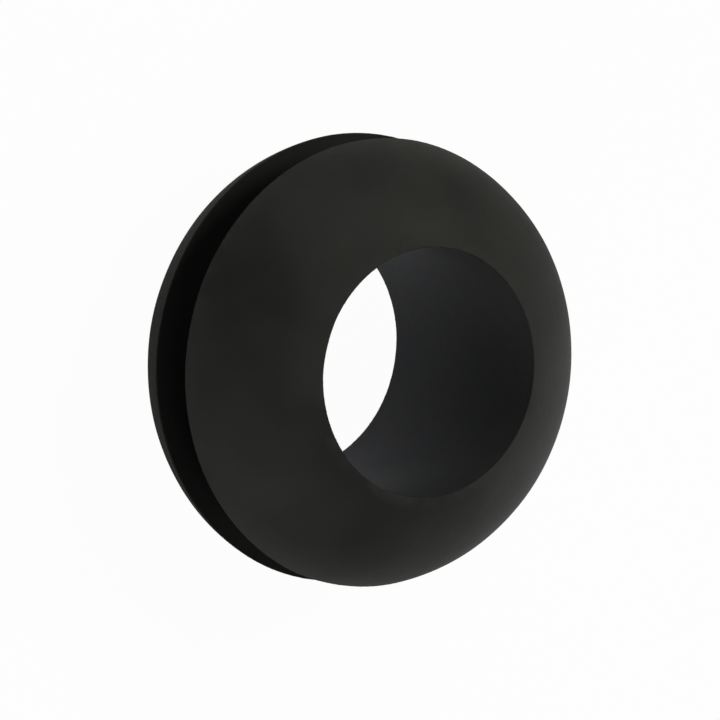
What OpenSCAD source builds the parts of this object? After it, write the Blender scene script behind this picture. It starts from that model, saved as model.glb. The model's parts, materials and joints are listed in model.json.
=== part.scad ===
// Rubber grommet: a moulded ring that lines a hole in a panel, so that a cable passes without chafing.
// It is round about Z, and z = 0 is halfway along its bore. All sizes are in millimetres.

/* [Bore] */
// Diameter of the straight hole that the cable passes through
bore_d = 10; // [8.5:0.5:11.5]

/* [Flanges] */
// Outside diameter of both flanges
flange_d = 18; // [17:0.5:19.5]
// Overall height, from lip to lip along the bore
height = 10; // [8.5:0.5:14]
// Radius on the lips of the bore and on the rims of the flanges
edge_r = 0.04; // [0.03:0.01:0.4]

/* [Panel groove] */
// Thickness of the panel that the groove grips
panel_t = 2; // [1:0.1:3]
// How much wider the groove is than the panel
panel_play = 0.1; // [0:0.05:0.4]
// Diameter of the hole in the panel, which the floor of the groove fills
panel_hole_d = 14; // [13:0.5:15]
// Fillet in the two corners at the floor of the groove
groove_fillet_r = 0.3; // [0.1:0.05:0.4]

/* [Hidden] */
$fn = 180;

bore_r = bore_d / 2;
flange_r = flange_d / 2;
groove_floor_r = panel_hole_d / 2;
groove_w = panel_t + panel_play;

// The section is drawn as [distance from the axis, z]. These are the middles of the small rounds in its
// upper half. The lip's touches the bore and the top, and the rim's touches the groove's wall and the
// outside diameter.
lip = [bore_r + edge_r, height / 2 - edge_r];
rim = [flange_r - edge_r, groove_w / 2 + edge_r];

// One circle crowns both flanges and touches both rounds. Its middle is the point of the z = 0 plane
// that is as far from the lip's round as from the rim's.
crown_mid = [(rim * rim - lip * lip) / (2 * (rim.x - lip.x)), 0];
crown_r = norm(rim - crown_mid) + edge_r;

function unit(v) = v / norm(v);

// What a round of radius r at mid leaves over in a sharp corner, for cutting away. The round touches the
// corner's two sides in the directions a and b, and the shape reaches a little past both sides.
module corner_waste(mid, r, a, b) {
    corner = r * (a + b) / (1 + a * b);
    translate(mid) difference() {
        polygon([[0, 0], 1.5 * r * a, 2 * corner, 1.5 * r * b]);
        circle(r);
    }
}

// The ring before it is grooved: all of the crown circle that lies outside the bore
module blank_section() {
    intersection() {
        translate(crown_mid) circle(crown_r);
        translate([bore_r, -height]) square([flange_r, 2 * height]);
    }
}

// The groove, with a fillet in each corner of its floor, running out past the rims
module groove_section() {
    fillet_mid = [groove_floor_r + groove_fillet_r, groove_w / 2 - groove_fillet_r];
    translate([fillet_mid.x, -groove_w / 2]) square([flange_r, groove_w]);
    translate([groove_floor_r, -fillet_mid.y]) square([flange_r, 2 * fillet_mid.y]);
    for (half = [0, 1]) mirror([0, half])
        translate(fillet_mid) circle(groove_fillet_r);
}

module ring_section() {
    difference() {
        blank_section();
        groove_section();
        for (half = [0, 1]) mirror([0, half]) {
            corner_waste(lip, edge_r, [-1, 0], unit(lip - crown_mid));
            corner_waste(rim, edge_r, [0, -1], unit(rim - crown_mid));
        }
    }
}

module grommet() {
    color("#2b2b2b") rotate_extrude() ring_section();
}

grommet();
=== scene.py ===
# The looks of a black rubber grommet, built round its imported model. Z runs along the bore, and z = 0 is
# halfway along it. Shapes are worked out in millimetres and put into Blender in metres.
import json
import math

import bpy
import numpy as np
from mathutils import Matrix, Vector


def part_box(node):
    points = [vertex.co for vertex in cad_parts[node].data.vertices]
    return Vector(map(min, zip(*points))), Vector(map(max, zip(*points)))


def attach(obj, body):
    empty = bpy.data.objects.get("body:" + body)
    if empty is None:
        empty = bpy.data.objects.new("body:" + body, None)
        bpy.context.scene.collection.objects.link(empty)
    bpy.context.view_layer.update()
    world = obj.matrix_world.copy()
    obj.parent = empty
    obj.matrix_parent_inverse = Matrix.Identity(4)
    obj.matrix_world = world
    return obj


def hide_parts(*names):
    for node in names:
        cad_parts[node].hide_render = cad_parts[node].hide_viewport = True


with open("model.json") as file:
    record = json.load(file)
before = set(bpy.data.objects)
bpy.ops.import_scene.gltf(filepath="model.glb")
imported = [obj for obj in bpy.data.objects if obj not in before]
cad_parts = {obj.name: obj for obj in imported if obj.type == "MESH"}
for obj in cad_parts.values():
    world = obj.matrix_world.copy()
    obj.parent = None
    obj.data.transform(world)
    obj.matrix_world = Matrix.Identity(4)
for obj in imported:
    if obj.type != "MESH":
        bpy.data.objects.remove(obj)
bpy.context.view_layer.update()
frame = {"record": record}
mm = 0.001  # one millimetre in Blender's metres


class Wire:
    # One output of a shader node. An expression on wires and numbers adds the Math nodes that work it out.
    def __init__(self, nodes, socket):
        self.nodes = nodes
        self.socket = socket

    def maths(self, operation, *values):
        # One Math node on the values, in their order
        return self.nodes.add("ShaderNodeMath", {"operation": operation}, dict(enumerate(values)))

    def size(self):
        # The value without its sign
        return self.maths("ABSOLUTE", self)

    def __add__(self, other):
        return self.maths("ADD", self, other)

    def __radd__(self, other):
        return self.maths("ADD", other, self)

    def __sub__(self, other):
        return self.maths("SUBTRACT", self, other)

    def __rsub__(self, other):
        return self.maths("SUBTRACT", other, self)

    def __mul__(self, other):
        return self.maths("MULTIPLY", self, other)

    def __rmul__(self, other):
        return self.maths("MULTIPLY", other, self)

    def ramp(self, low, high):
        # 0 at low, 1 at high, and smooth in between
        return self.nodes.add("ShaderNodeMapRange", {"interpolation_type": "SMOOTHSTEP"},
                              {"Value": self, "From Min": low, "From Max": high})


class Nodes:
    # The node tree of a material or of the world
    def __init__(self, owner):
        owner.use_nodes = True
        self.tree = owner.node_tree
        self.tree.nodes.clear()

    def add(self, kind, settings, sockets, output=0):
        # One node: its settings are made first, and then its sockets get their values or links
        node = self.tree.nodes.new(kind)
        for name, value in settings.items():
            setattr(node, name, value)
        for name, value in sockets.items():
            if isinstance(value, Wire):
                self.tree.links.new(value.socket, node.inputs[name])
            else:
                node.inputs[name].default_value = value
        return Wire(self, node.outputs[output] if node.outputs else None)

    def mixColour(self, factor, first, second):
        # First where the factor is 0, second where it is 1, and a straight blend in between
        return self.add("ShaderNodeMix", {"data_type": "RGBA"}, {0: factor, 6: first, 7: second}, 2)

    def noise(self, place, perMm, detail, roughness=0.5):
        # Clouds between 0 and 1, about 0.5 on average, with perMm of them to a millimetre. Each step of
        # detail adds clouds of half the size, and roughness is how strong they are against the last ones.
        return self.add("ShaderNodeTexNoise", {},
                        {"Vector": place, "Scale": perMm, "Detail": detail, "Roughness": roughness})


def meshPiece(name, points, faces, material, smooth=True):
    # An object at the origin, whose points are given in millimetres and divided by 1000 for Blender
    mesh = bpy.data.meshes.new(name)
    mesh.from_pydata(points * mm, [], faces)
    mesh.polygons.foreach_set("use_smooth", np.full(len(faces), smooth))
    mesh.materials.append(material)
    mesh.update()
    piece = bpy.data.objects.new(name, mesh)
    bpy.context.scene.collection.objects.link(piece)
    return piece


# The grommet: one section, carried round the bore

mounts = {mount["name"]: mount["dims"] for mount in frame["record"]["mounts"]}
lowest, highest = (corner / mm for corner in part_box("grommet"))

grommetShape = {
    "boreRadius": mounts["cable_bore"]["r_mm"],
    "grooveRadius": mounts["panel_groove"]["r_mm"],
    "grooveWidth": mounts["panel_groove"]["length_mm"],
    "flangeRadius": highest.x,
    "height": highest.z - lowest.z,
    "edgeRadius": (highest.z - lowest.z - mounts["cable_bore"]["length_mm"]) / 2,
    "filletRadius": 0.3,
    "turnSteps": 720,  # points round the ring, and below it steps along each stretch of the section
    "boreSteps": 14,
    "crownSteps": 30,
    "edgeSteps": 7,
    "wallSteps": 6,
    "filletSteps": 5,
    "waveHeight": 0.006,  # how far the moulded faces wander from the true shape
    "waveCount": 24,
    "waveRounds": (2, 16),  # fewest waves round the ring, and one more than the most
    "waveSlant": 1.0,  # spread of how far a wave turns over a millimetre of the section, in radians
    "flashHeight": 0.015,  # what the torn flash leaves standing on the rims
    "flashOnLips": 0.5,  # share of that height on the lips
    "flashWidth": 0.05,
    "flashCount": 40,
    "flashRounds": (30, 240),
    "flashStart": 0.3,  # crests below this leave nothing standing
    "flashTop": 1.2,  # and none stands higher than this above it
    "seed": 5,
}


def spread(count):
    # count + 1 shares from 0 to 1, closest together at both ends: half of 1 less the cosine of an angle
    # that goes from 0 to 180 degrees
    return (1 - np.cos(np.linspace(0, np.pi, count + 1))) / 2


def line(start, end, count):
    # Start plus a share of the way to the end
    return start + spread(count)[:, None] * (end - start)


def arc(middle, radius, startAngle, endAngle, count):
    # Middle plus the radius times the cosine and sine of an angle that goes from start to end, in degrees
    angle = np.radians(startAngle + spread(count) * (endAngle - startAngle))
    return middle + radius * np.stack([np.cos(angle), np.sin(angle)], axis=1)


def halfSection(shape):
    # Half of the section as (distance from the axis, z), from halfway along the bore, over the lip, the
    # crown and the rim, to halfway along the groove's floor. The crown is a circle about a point of the
    # z = 0 line that is as far from the middle of the lip's round as from that of the rim's, so it touches
    # both.
    edge = shape["edgeRadius"]
    fillet = shape["filletRadius"]
    wall = shape["grooveWidth"] / 2
    lip = np.array([shape["boreRadius"] + edge, shape["height"] / 2 - edge])
    rim = np.array([shape["flangeRadius"] - edge, wall + edge])
    corner = np.array([shape["grooveRadius"] + fillet, wall - fillet])
    crown = np.array([(rim @ rim - lip @ lip) / (2 * (rim[0] - lip[0])), 0.0])
    crownRadius = np.linalg.norm(rim - crown) + edge
    lipAngle, rimAngle = (math.degrees(math.atan2(*(end - crown)[::-1])) for end in (lip, rim))
    bore = line(np.array([shape["boreRadius"], 0.0]), lip - [edge, 0], shape["boreSteps"] // 2)
    floor = line(corner - [fillet, 0], np.array([shape["grooveRadius"], 0.0]), shape["wallSteps"] // 2)
    stretches = [
        bore,
        arc(lip, edge, 180, lipAngle, shape["edgeSteps"]),
        arc(crown, crownRadius, lipAngle, rimAngle, shape["crownSteps"]),
        arc(rim, edge, rimAngle, -90, shape["edgeSteps"]),
        line(rim - [0, edge], corner + [0, fillet], shape["wallSteps"]),
        arc(corner, fillet, 90, 180, shape["filletSteps"]),
        floor,
    ]
    return np.concatenate([stretch[:-1] for stretch in stretches] + [floor[-1:]])


def ringSurface(shape):
    # The section's points at each angle round Z: distance times cosine, distance times sine, and height,
    # after each point is pushed along the section's normal by the waves and the flash
    upper = halfSection(shape)
    lower = upper[-2:0:-1] * [1, -1]
    section = np.concatenate([upper, lower])
    across = np.roll(section, -1, axis=0) - np.roll(section, 1, axis=0)
    normal = np.stack([-across[:, 1], across[:, 0]], axis=1) / np.linalg.norm(across, axis=1)[:, None]
    turn = np.linspace(0, 2 * np.pi, shape["turnSteps"], endpoint=False)
    push = waves(shape, section, turn) + flash(shape, section, turn)
    radius = section[:, None, 0] + normal[:, None, 0] * push
    height = section[:, None, 1] + normal[:, None, 1] * push
    return np.stack([radius * np.cos(turn), radius * np.sin(turn), height], axis=2)


def waves(shape, section, turn):
    # waveHeight times a sum of cosines over the square root of their count. Each has a whole number of
    # waves round the ring, and its own slant over the section.
    draw = np.random.default_rng(shape["seed"])
    count = shape["waveCount"]
    rounds = draw.integers(*shape["waveRounds"], count)
    slants = draw.normal(0, shape["waveSlant"], (count, 2))
    starts = draw.uniform(0, 2 * np.pi, count)
    slope = section @ slants.T + starts
    each = np.cos(slope[:, None, :] + turn[None, :, None] * rounds)
    return shape["waveHeight"] * each.sum(axis=2) / math.sqrt(count)


def flash(shape, section, turn):
    # Ragged burrs round four circles, two rims and two lips. Each is a bell across the section, e to the
    # minus square of the distance over the width, times a sum of short waves round the ring, of which only
    # the crests stay.
    draw = np.random.default_rng(shape["seed"] + 1)
    edge = shape["edgeRadius"]
    count = shape["flashCount"]
    lines = [(shape["flangeRadius"] - edge, shape["grooveWidth"] / 2, 1.0),
             (shape["boreRadius"], shape["height"] / 2 - edge, shape["flashOnLips"])]
    push = np.zeros((len(section), len(turn)))
    for radius, height, share in lines:
        for side in (1, -1):
            rounds = draw.integers(*shape["flashRounds"], count)
            starts = draw.uniform(0, 2 * np.pi, count)
            crest = np.cos(turn[:, None] * rounds + starts).sum(axis=1) / math.sqrt(count / 2)
            away = np.linalg.norm(section - [radius, side * height], axis=1)
            bell = np.exp(-(away / shape["flashWidth"]) ** 2)
            torn = np.clip(crest - shape["flashStart"], 0, shape["flashTop"])
            push += share * shape["flashHeight"] * bell[:, None] * torn
    return push


def ringFaces(rows, columns):
    # Four corners for each cell of a grid that closes both ways: its own row and column and the next ones,
    # where row * columns + column is a point's number
    row, column = np.meshgrid(np.arange(rows), np.arange(columns), indexing="ij")
    nextRow, nextColumn = (row + 1) % rows, (column + 1) % columns
    corners = [row * columns + column, nextRow * columns + column,
               nextRow * columns + nextColumn, row * columns + nextColumn]
    return np.stack(corners, axis=2).reshape(-1, 4)


rubberFinish = {
    "dark": (0.0104, 0.0106, 0.0104, 1.0),
    "pale": (0.0184, 0.0180, 0.0173, 1.0),
    "fresh": (0.0068, 0.0070, 0.0069, 1.0),  # painted shade: darker inside the groove, for the shade that falls there
    "worn": (0.022, 0.022, 0.021, 1.0),
    "wornShare": 0.8,  # how far the rims and lips turn to worn, in patches
    "wornWidth": 0.25,  # on a rim, and half of it on a lip
    "wornPerMm": 1.1,
    "wornRamp": (0.42, 0.6),  # noise at which a patch begins, and at which it is full
    "mottlePerMm": 0.28,
    "mottleRamp": (0.3, 0.7),
    "specular": 0.23,
    "roughness": 0.64,
    "grainRoughness": 0.10,
    "wornRoughness": 0.08,
    "grainPerMm": 7.0,
    "grainHeight": 0.004,
    "dimplePerMm": 1.6,
    "dimpleHeight": 0.010,
}


def blackRubber(finish):
    # Blotches between dark and pale, turned to worn in patches along rims and lips, and darkened in the
    # groove by painted shade. Rim, lip and groove are smooth steps of the distance from the axis and from
    # z = 0. Grain and dimples are two noises, and the bump's height is the sum of each times its own
    # height.
    material = bpy.data.materials.new("blackRubber")
    nodes = Nodes(material)
    metres = nodes.add("ShaderNodeTexCoord", {}, {}, "Object")
    place = nodes.add("ShaderNodeVectorMath", {"operation": "SCALE"}, {0: metres, "Scale": 1 / mm})
    mottle = nodes.noise(place, finish["mottlePerMm"], detail=1.5).ramp(*finish["mottleRamp"])
    grain = nodes.noise(place, finish["grainPerMm"], detail=3.0, roughness=0.6)
    dimple = nodes.noise(place, finish["dimplePerMm"], detail=2.0)
    patches = nodes.noise(place, finish["wornPerMm"], detail=4.0).ramp(*finish["wornRamp"])
    flat = nodes.add("ShaderNodeVectorMath", {"operation": "MULTIPLY"}, {0: place, 1: (1, 1, 0)})
    radius = nodes.add("ShaderNodeVectorMath", {"operation": "LENGTH"}, {0: flat}, "Value")
    rise = nodes.add("ShaderNodeSeparateXYZ", {}, {0: place}, "Z").size()
    rim = radius.ramp(grommetShape["flangeRadius"] - finish["wornWidth"], grommetShape["flangeRadius"])
    lip = rise.ramp(grommetShape["height"] / 2 - finish["wornWidth"] / 2, grommetShape["height"] / 2)
    worn = (rim + lip) * patches * finish["wornShare"]
    wall = grommetShape["grooveWidth"] / 2
    # middle and groove mark the groove, where the colour is darkened by painted shade
    middle = 1 - rise.ramp(wall, wall + 2 * grommetShape["edgeRadius"])
    groove = middle * radius.ramp(grommetShape["boreRadius"], grommetShape["grooveRadius"])
    rubber = nodes.mixColour(mottle, finish["dark"], finish["pale"])
    # the worn patches are real wear; the groove's darker colour is painted shade
    colour = nodes.mixColour(groove, nodes.mixColour(worn, rubber, finish["worn"]), finish["fresh"])
    roughness = (finish["roughness"] + (grain - 0.5) * finish["grainRoughness"]
                 + worn * finish["wornRoughness"])
    height = grain * finish["grainHeight"] + dimple * finish["dimpleHeight"]
    bump = nodes.add("ShaderNodeBump", {}, {"Height": height, "Distance": mm})
    shader = nodes.add("ShaderNodeBsdfPrincipled", {}, {
        "Base Color": colour, "Roughness": roughness,
        "Specular IOR Level": finish["specular"], "Normal": bump})
    nodes.add("ShaderNodeOutputMaterial", {}, {"Surface": shader})
    return material


print("shaping the grommet")
surface = ringSurface(grommetShape)
rows, columns = surface.shape[:2]
grommetSkin = meshPiece("grommetSkin", surface.reshape(-1, 3), ringFaces(rows, columns),
                        blackRubber(rubberFinish))
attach(grommetSkin, "root")
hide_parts("grommet")
print("grommet:", rows, "points along the section and", columns, "round it")


# The studio: a pale floor under the lower lip, a few soft lamps, and white behind

studio = {
    "floorSize": 3000.0,
    "floorColour": (0.8, 0.8, 0.8, 1.0),
    "floorWhite": 0.97,  # how much of the floor the camera sees as plain white, the rest keeping the shadow
    "glowColour": (0.93, 0.95, 1.0, 1.0),
    "glow": 0.82,  # how much of glowColour the floor takes on in reflections, where it glows
    "glowRound": 76.0,  # the side that glows, in degrees from +X
    "glowWedge": 0.87,  # cosine of half the angle of the wedge that glows beyond the bore
    "glowBlur": 1.0,  # millimetres over which the glow fades
    "worldColour": (1.0, 1.0, 0.98, 1.0),
    "worldStrength": 0.005,
}

lampAway = 500.0  # millimetres from the grommet's middle

# Direction in degrees, round from +X and up from the floor, and size in millimetres. Strength 1 lights a
# white face that looks at the lamp to plain white.
lamps = {
    "key": {"round": 149, "up": 55, "size": 230, "strength": 0.49, "colour": (1.0, 0.99, 0.89)},
    "fill": {"round": 353, "up": 57, "size": 250, "strength": 0.15, "colour": (1.0, 0.99, 0.92)},
    "back": {"round": 81, "up": 3, "size": 350, "strength": 0.47, "colour": (1.0, 0.99, 0.95)},
    "front": {"round": 332, "up": 11, "size": 290, "strength": 0.39, "colour": (0.98, 1.0, 0.95)},
    "side": {"round": 197, "up": 24, "size": 390, "strength": 0.25, "colour": (0.98, 1.0, 0.97)},
}


def glowShare(nodes, studio):
    # How far each place of the floor glows in reflections. Under the bore it is the half on the side of
    # glowRound. Beyond it is a wedge, where the distance towards glowRound is more than glowWedge times the
    # distance from the axis.
    metres = nodes.add("ShaderNodeTexCoord", {}, {}, "Object")
    scale = (1 / mm, 1 / mm, 0)
    flat = nodes.add("ShaderNodeVectorMath", {"operation": "MULTIPLY"}, {0: metres, 1: scale})
    away = nodes.add("ShaderNodeVectorMath", {"operation": "LENGTH"}, {0: flat}, "Value")
    under = 1 - away.ramp(grommetShape["boreRadius"], grommetShape["boreRadius"] + studio["glowBlur"])
    turn = math.radians(studio["glowRound"])
    towards = (math.cos(turn), math.sin(turn), 0)
    ahead = nodes.add("ShaderNodeVectorMath", {"operation": "DOT_PRODUCT"}, {0: flat, 1: towards}, "Value")
    half = ahead.ramp(-studio["glowBlur"], studio["glowBlur"])
    wedge = (ahead - away * studio["glowWedge"]).ramp(0, studio["glowBlur"])
    return (half * under + wedge * (1 - under)) * studio["glow"]


def addFloor(studio, ground):
    # A square of paper at the ground's height. The camera sees it mixed with plain white by floorWhite, and
    # reflections see it mixed with the glow.
    reach = studio["floorSize"] / 2
    corners = np.array([[-reach, -reach, ground], [reach, -reach, ground],
                        [reach, reach, ground], [-reach, reach, ground]])
    material = bpy.data.materials.new("floorPaper")
    nodes = Nodes(material)
    share = glowShare(nodes, studio)
    diffuse = nodes.add("ShaderNodeBsdfDiffuse", {}, {"Color": studio["floorColour"]})
    white = nodes.add("ShaderNodeEmission", {}, {"Strength": 1.0})
    glow = nodes.add("ShaderNodeEmission", {}, {"Color": studio["glowColour"], "Strength": 1.0})
    isCamera = nodes.add("ShaderNodeLightPath", {}, {}, "Is Camera Ray")
    isGlossy = nodes.add("ShaderNodeLightPath", {}, {}, "Is Glossy Ray")
    paper = nodes.add("ShaderNodeMixShader", {}, {0: isCamera * studio["floorWhite"], 1: diffuse, 2: white})
    glowing = nodes.add("ShaderNodeMixShader", {}, {0: isGlossy * share, 1: paper, 2: glow})
    nodes.add("ShaderNodeOutputMaterial", {}, {"Surface": glowing})
    material.cycles.emission_sampling = "NONE"
    floor = meshPiece("floor", corners, np.array([[0, 1, 2, 3]]), material, smooth=False)


def addWorld(studio):
    # Plain white to the camera, and the faint light of the room to everything else
    world = bpy.data.worlds.new("studio")
    bpy.context.scene.world = world
    nodes = Nodes(world)
    room = nodes.add("ShaderNodeBackground", {}, {
        "Color": studio["worldColour"], "Strength": studio["worldStrength"]})
    behind = nodes.add("ShaderNodeBackground", {}, {"Color": (1.0, 1.0, 1.0, 1.0), "Strength": 1.0})
    isCamera = nodes.add("ShaderNodeLightPath", {}, {}, "Is Camera Ray")
    around = nodes.add("ShaderNodeMixShader", {}, {0: isCamera, 1: room, 2: behind})
    nodes.add("ShaderNodeOutputWorld", {}, {"Surface": around})


def addLamp(name, lamp):
    # A square lamp on a sphere round the grommet, facing its middle. Its watts for strength 1 are the
    # square of pi times its distance in metres.
    light = bpy.data.lights.new(name, "AREA")
    light.shape = "SQUARE"
    light.size = lamp["size"] * mm
    light.color = lamp["colour"]
    light.energy = lamp["strength"] * (math.pi * lampAway * mm) ** 2
    turn, rise = math.radians(lamp["round"]), math.radians(lamp["up"])
    towards = Vector((math.cos(turn) * math.cos(rise), math.sin(turn) * math.cos(rise), math.sin(rise)))
    holder = bpy.data.objects.new(name, light)
    holder.location = towards * lampAway * mm
    holder.rotation_mode = "QUATERNION"
    holder.rotation_quaternion = towards.to_track_quat("Z", "Y")
    bpy.context.scene.collection.objects.link(holder)


print("lighting it")
addFloor(studio, surface[:, :, 2].min())
addWorld(studio)
for name, lamp in lamps.items():
    addLamp(name, lamp)


# The camera looks at the grommet from above its -Y side, rolled so that the bore points to the right

cameraView = {
    "tilt": 33.89,  # degrees between the bore's axis and the line of sight
    "roll": 10.65,  # degrees
    "away": 900.0,  # this and the next three in millimetres
    "frameWidth": 28.747,  # how much of the grommet's surroundings the picture takes in
    "aimRight": -0.005,
    "aimUp": -0.009,
}


def addCamera(view):
    # The camera's three axes come first: back is +Z tilted towards -Y, right is +Y tilted the same way and
    # then rolled towards -X, and up is square to both. The lens is the sensor's width times the distance
    # over the width that the picture takes in.
    tilt, roll = math.radians(view["tilt"]), math.radians(view["roll"])
    back = Vector((0, -math.sin(tilt), math.cos(tilt)))
    right = Vector((-math.sin(roll), math.cos(roll) * math.cos(tilt), math.cos(roll) * math.sin(tilt)))
    up = back.cross(right)
    camera = bpy.data.cameras.new("camera")
    camera.sensor_width = 36.0  # millimetres
    camera.lens = camera.sensor_width * view["away"] / view["frameWidth"]
    camera.clip_end = 5.0  # metres
    holder = bpy.data.objects.new("camera", camera)
    aim = right * view["aimRight"] + up * view["aimUp"]
    holder.matrix_world = Matrix.Translation((aim + back * view["away"]) * mm) @ Matrix(
        (right, up, back)).transposed().to_4x4()
    bpy.context.scene.collection.objects.link(holder)
    bpy.context.scene.camera = holder


print("placing the camera")
addCamera(cameraView)
bpy.context.scene.view_settings.view_transform = "Standard"
